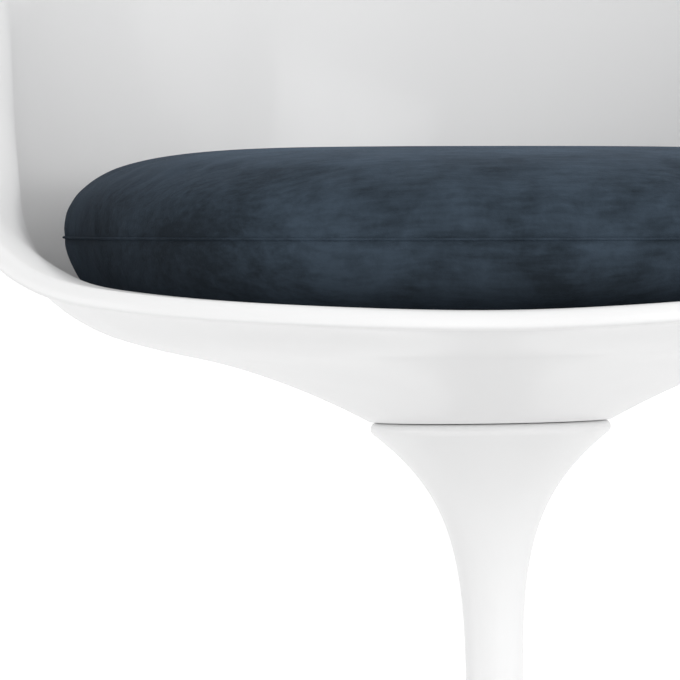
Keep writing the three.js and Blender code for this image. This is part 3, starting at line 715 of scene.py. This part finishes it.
# Seat cushion
# A loose foam cushion in a dark blue velvet cover, with a low crown, full rounded sides above and below
# one seam, and a flat underside. Cloth simulation blows it up a little, and the seam draws it back in.
cushion_half_width = 0.2225
cushion_front = 0.241  # ahead of the bowl's centre
cushion_back = 0.215
cushion_roundness = 2.3
seam_height = 0.4273
cushion_crown = 0.4741
cushion_bottom = 0.3806
cushion_tilt = 0.0145  # the loose cushion lies level in the photo, where the chair leans a little
seam_narrowing = 0.0009
seam_band = 0.0035  # how far above and below the seam the cover is drawn in
side_above = (2.7, 0.21)  # the section's two powers above the seam
side_below = (1.6, 0.11)  # and below it
side_lip = (1.7, 0.01)  # added to those below where the side faces the lip
smallest_ring = 0.004  # share of the outline at the form's first and last ring
bowl_clearance = 0.001
bowl_centre = np.array([0, -bowl_ahead])


def outline_at(angle, inset):
    """Plan outline of the cushion, a superellipse about a point ahead of the swivel axis: the angle's
    sine and cosine, each raised to two over the roundness with its sign kept, times the half-lengths."""
    power = 2 / cushion_roundness
    depth = np.where(np.cos(angle) > 0, cushion_front, cushion_back)
    x = np.sign(np.sin(angle)) * np.abs(np.sin(angle)) ** power
    y = -np.sign(np.cos(angle)) * np.abs(np.cos(angle)) ** power
    return np.stack([(cushion_half_width - inset) * x, (depth - inset) * y - bowl_ahead], -1)


def section_width(share, facing):
    """Share of the outline that is left at a share of the height from the seam: one less that share
    raised to one power, all raised to a second. Both are others below, and grow towards the lip."""
    fuller = np.clip(facing, 0, 1) ** 1.5
    above = (1 - np.abs(share) ** side_above[0]) ** side_above[1]
    power = side_below[0] + side_lip[0] * fuller
    root = side_below[1] + side_lip[1] * fuller
    return np.where(share < 0, (1 - np.abs(share) ** power) ** root, above)


def cushion_rows(inset, steps=40, columns=240):
    """Closed cushion form: rings of the plan outline, each times the section's width at its height,
    from the crown to the underside, at heights that follow a sine."""
    share = np.sin(np.linspace(np.pi / 2, -np.pi / 2, 2 * steps + 1))
    rise = np.where(share > 0, cushion_crown - seam_height - inset, seam_height - cushion_bottom - inset)
    height = seam_height + share * rise
    turn = np.linspace(0, 2 * np.pi, columns, endpoint=False)
    plan = outline_at(turn, inset) - bowl_centre
    width = np.maximum(section_width(share[:, None], np.cos(turn)[None]), smallest_ring)
    flat = plan[None] * width[..., None] + bowl_centre
    return np.concatenate([flat, np.broadcast_to(height[:, None, None], (*flat.shape[:2], 1))], -1)


def mesh_places(piece):
    """The places of a mesh's points as an array."""
    places = np.empty(3 * len(piece.data.vertices))
    piece.data.vertices.foreach_get("co", places)
    return places.reshape(-1, 3)


def set_places(piece, places):
    """Writes an array of places back to a mesh's points."""
    piece.data.vertices.foreach_set("co", places.ravel())
    piece.data.update()


def apply_modifiers(piece):
    """Replaces a mesh by what its modifiers make of it, and removes them."""
    shown = bpy.context.evaluated_depsgraph_get()
    made = bpy.data.meshes.new_from_object(piece.evaluated_get(shown))
    piece.modifiers.clear()
    piece.data = made


def blow_up(piece, voxel, pressure, frames, farthest):
    """Remeshes a closed form and inflates it as cloth that is held along its seam, then limits how far
    each point has moved by a smooth cap: the farthest distance times the hyperbolic tangent of the
    distance moved over the farthest, so that no fold or bulge grows beyond it."""
    remesh = piece.modifiers.new("even_mesh", "REMESH")
    remesh.mode = "VOXEL"
    remesh.voxel_size = voxel
    apply_modifiers(piece)
    before = mesh_places(piece)
    seam_points = np.where(np.abs(before[:, 2] - seam_height) < 0.6 * voxel)[0]
    pinned = piece.vertex_groups.new(name="seam")
    pinned.add(seam_points.tolist(), 1.0, "REPLACE")
    cloth = piece.modifiers.new("cover", "CLOTH")
    cloth.settings.quality = 6
    cloth.settings.mass = 0.3
    cloth.settings.tension_stiffness = 12
    cloth.settings.compression_stiffness = 12
    cloth.settings.shear_stiffness = 5
    cloth.settings.bending_stiffness = 0.4
    cloth.settings.shrink_min = -0.05
    cloth.settings.use_pressure = True
    cloth.settings.uniform_pressure_force = pressure
    cloth.settings.vertex_group_mass = "seam"
    cloth.settings.effector_weights.gravity = 0
    cloth.collision_settings.use_collision = False
    cloth.point_cache.frame_start = 1
    cloth.point_cache.frame_end = frames
    for frame_number in range(1, frames + 1):
        bpy.context.scene.frame_set(frame_number)
    apply_modifiers(piece)
    bpy.context.scene.frame_set(1)
    moved = mesh_places(piece) - before
    reach = np.linalg.norm(moved, axis=1, keepdims=True)
    set_places(piece, before + moved / np.maximum(reach, 1e-9) * farthest * np.tanh(reach / farthest))


def fit_to(piece, low, high):
    """Scales a form about a centre in it so that it reaches the given lowest and highest corners."""
    centre = np.array([0, -bowl_ahead, seam_height])
    places = mesh_places(piece) - centre
    upper = (np.array(high) - centre) / places.max(0)
    lower = (np.array(low) - centre) / places.min(0)
    set_places(piece, places * np.where(places > 0, upper, lower) + centre)


def rest_in_bowl(places, clearance):
    """Moves points that would be in the shell back to a clearance from its inner face: in each plan
    direction the bowl's radius follows the pan's corner arc at the point's height."""
    plan = places[:, :2] - bowl_centre
    angle = np.arctan2(plan[:, 0], -plan[:, 1])
    pan = plan_radius(angle, pan_half_width, pan_front, pan_back)
    wall = plan_radius(angle, bowl_half_width, bowl_front, bowl_back)
    height = np.clip(places[:, 2] - clearance - pan_height, 0, corner_rise)
    room = pan + (wall - pan) * np.sin(np.arccos(1 - height / corner_rise)) - clearance
    reach = np.maximum(np.linalg.norm(plan, axis=1), 1e-6)
    inside = plan * np.minimum(room / reach, 1)[:, None]
    return np.concatenate([inside + bowl_centre, places[:, 2:]], 1)


def settle(places):
    """The cushion's lean: points rise towards -X by the tilt times their distance from the middle, in
    full from the seam up and not at all where the cushion rests on the pan."""
    lifted = np.clip((places[:, 2] - cushion_bottom) / (seam_height - cushion_bottom), 0, 1)
    return places + np.stack([0 * lifted, 0 * lifted, -cushion_tilt * places[:, 0] * lifted], -1)


cushion = closed_surface("seat_cushion", cushion_rows(inset=0.0006), smooth_angle=60)
cushion.data.flip_normals()
blow_up(cushion, voxel=0.0055, pressure=4.0, frames=20, farthest=0.0009)
fit_to(
    cushion,
    (-cushion_half_width, -bowl_ahead - cushion_front, cushion_bottom),
    (cushion_half_width, -bowl_ahead + cushion_back, cushion_crown),
)
finer = cushion.modifiers.new("finer", "SUBSURF")
finer.levels = 1
finer.render_levels = 1
apply_modifiers(cushion)
places = mesh_places(cushion)
from_seam = (places[:, 2] - seam_height) / seam_band
inward = seam_narrowing * np.exp(-(from_seam**2))
outward = places[:, :2] - bowl_centre
outward = outward / np.maximum(np.linalg.norm(outward, axis=1, keepdims=True), 1e-6)
places[:, :2] -= outward * inward[:, None]
set_places(cushion, rest_in_bowl(settle(places), bowl_clearance))
cushion.data.shade_smooth()
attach(cushion, "seat")
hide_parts("cushion_top_cover", "cushion_bottom_cover", "cushion_core")

velvet = finish_of("navy_velvet", (0.03, 0.045, 0.062), roughness=0.85)
tree = velvet.node_tree
shader = tree.nodes["Principled BSDF"]
shader.inputs["Specular IOR Level"].default_value = 0.12
shader.inputs["Sheen Weight"].default_value = 0.09
shader.inputs["Sheen Roughness"].default_value = 0.4
shader.inputs["Sheen Tint"].default_value = (0.45, 0.68, 1.0, 1)
spot = add_node(tree, "TexCoord", {}).outputs["Object"]
# Slow waves bend the other patterns, so that none of them runs straight.
waves = add_node(tree, "TexNoise", {"Vector": spot, "Scale": 9.0, "Detail": 3.0}).outputs["Color"]
bent = add_node(tree, "Mix", {"Factor": 0.025, "A": spot, "B": waves}, data_type="VECTOR").outputs["Result"]
# There are patches where the pile lies another way, and short brush strokes that run across the seat.
nap = add_node(tree, "TexNoise", {"Vector": bent, "Scale": 15.0, "Detail": 7.0, "Roughness": 0.7})
across_seat = add_node(tree, "Mapping", {"Vector": bent, "Scale": (45.0, 260.0, 320.0)}).outputs["Vector"]
strokes = add_node(tree, "TexNoise", {"Vector": across_seat, "Scale": 1.0, "Detail": 4.0, "Roughness": 0.55})
pattern = {"Factor": 0.24, "A": nap.outputs["Fac"], "B": strokes.outputs["Fac"]}
lay = add_node(tree, "Mix", pattern, data_type="FLOAT").outputs["Result"]
tones = add_node(tree, "ValToRGB", {"Fac": lay})
for end, position, colour in zip(
    tones.color_ramp.elements, (0.4, 0.6), ((0.0145, 0.0215, 0.0295), (0.04, 0.058, 0.08))
):
    end.position = position
    end.color = (*colour, 1)
# Painted shade: the colour is scaled darker towards the cushion's two ends and below its seam.
place = add_node(tree, "SeparateXYZ", {0: spot})
from_middle = add_node(tree, "Math", {0: place.outputs["X"]}, operation="ABSOLUTE").outputs[0]
painted_shade_parts = []
for value, low, high, low_share, high_share in [
    (from_middle, 0.1, cushion_half_width, 1.0, 0.34),
    (place.outputs["Z"], cushion_bottom, seam_height + 0.004, 0.42, 1.0),
]:
    limits = {"From Min": low, "From Max": high, "To Min": low_share, "To Max": high_share}
    ease = add_node(tree, "MapRange", {"Value": value, **limits}, interpolation_type="SMOOTHSTEP")
    painted_shade_parts.append(ease.outputs["Result"])
# The two painted shade shares are multiplied, and the ramp's colour is scaled down by them.
shade = add_node(tree, "Math", {0: painted_shade_parts[0], 1: painted_shade_parts[1]}, operation="MULTIPLY").outputs[0]
painted_shade_colour = add_node(tree, "VectorMath", {0: tones.outputs["Color"], "Scale": shade}, operation="SCALE")
pile = add_node(tree, "TexNoise", {"Vector": spot, "Scale": 1500.0, "Detail": 2.0}).outputs["Fac"]
pile_bump = add_node(tree, "Bump", {"Height": pile, "Distance": 0.0003}).outputs["Normal"]
lay_bump = add_node(tree, "Bump", {"Height": lay, "Distance": 0.0009, "Normal": pile_bump})
tree.links.new(painted_shade_colour.outputs["Vector"], shader.inputs["Base Color"])
tree.links.new(lay_bump.outputs["Normal"], shader.inputs["Normal"])
cushion.data.materials.append(velvet)


# Seam and zip
# The cover's two halves are sewn together along its edge: a narrow velvet welt runs round the front and
# the sides, and a closed zip of dark cloth tape and nylon coil, with a zinc slider, round the back.
def edge_strip(name, start, end, steps, inner, outer, half_height):
    """A rounded strip along the seam between two angles from the front: an ellipse of the given reach
    and height carried round the cushion's outline, narrowed to a point at both ends."""
    turn = np.linspace(np.radians(start), np.radians(end), steps)
    edge = outline_at(turn, 0.0)
    ahead_of = np.gradient(edge, axis=0)
    out_of = np.stack([ahead_of[:, 1], -ahead_of[:, 0]], -1)
    out_of = out_of / np.linalg.norm(out_of, axis=1, keepdims=True)
    section = np.linspace(0, 2 * np.pi, 12, endpoint=False)
    closing = np.clip(np.minimum(np.arange(steps), np.arange(steps)[::-1]) / 2, 0.05, 1)[:, None]
    reach = ((outer + inner) / 2 + (outer - inner) / 2 * np.cos(section)) * closing
    height = seam_height + half_height * np.sin(section) * closing
    flat = edge[:, None] + out_of[:, None] * reach[..., None]
    rows = np.concatenate([flat, height[..., None]], -1)
    return closed_surface(name, settle(rows.reshape(-1, 3)).reshape(rows.shape), smooth_angle=60)


zip_from, zip_to = 138.0, 222.0  # degrees from the front
welt_gap = 0.4
coil_gap = 1.5
welt = edge_strip(
    "cushion_seam_welt",
    zip_to + welt_gap,
    360 + zip_from - welt_gap,
    steps=420,
    inner=-0.0016,
    outer=0.0001,
    half_height=0.0006,
)
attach(welt, "seat")
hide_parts("cushion_seam")
welt.data.materials.append(velvet)
zip_light, zip_dark = (0.05, 0.06, 0.08), (0.02, 0.025, 0.035)
zip_cloth = speckled("zip_cloth", zip_light, zip_dark, roughness=0.9, scale=1200.0, depth=0.0003)
tape = edge_strip(
    "cushion_zip_tape", zip_from, zip_to, steps=160, inner=-0.0022, outer=0.0003, half_height=0.0032
)
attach(tape, "seat")
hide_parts("zip_tape")
tape.data.materials.append(zip_cloth)
coil = edge_strip(
    "cushion_zip_coil",
    zip_from + coil_gap,
    zip_to - coil_gap,
    steps=160,
    inner=-0.0005,
    outer=0.001,
    half_height=0.001,
)
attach(coil, "seat")
coil.data.materials.append(zip_cloth)
dress("zip_slider", zinc)
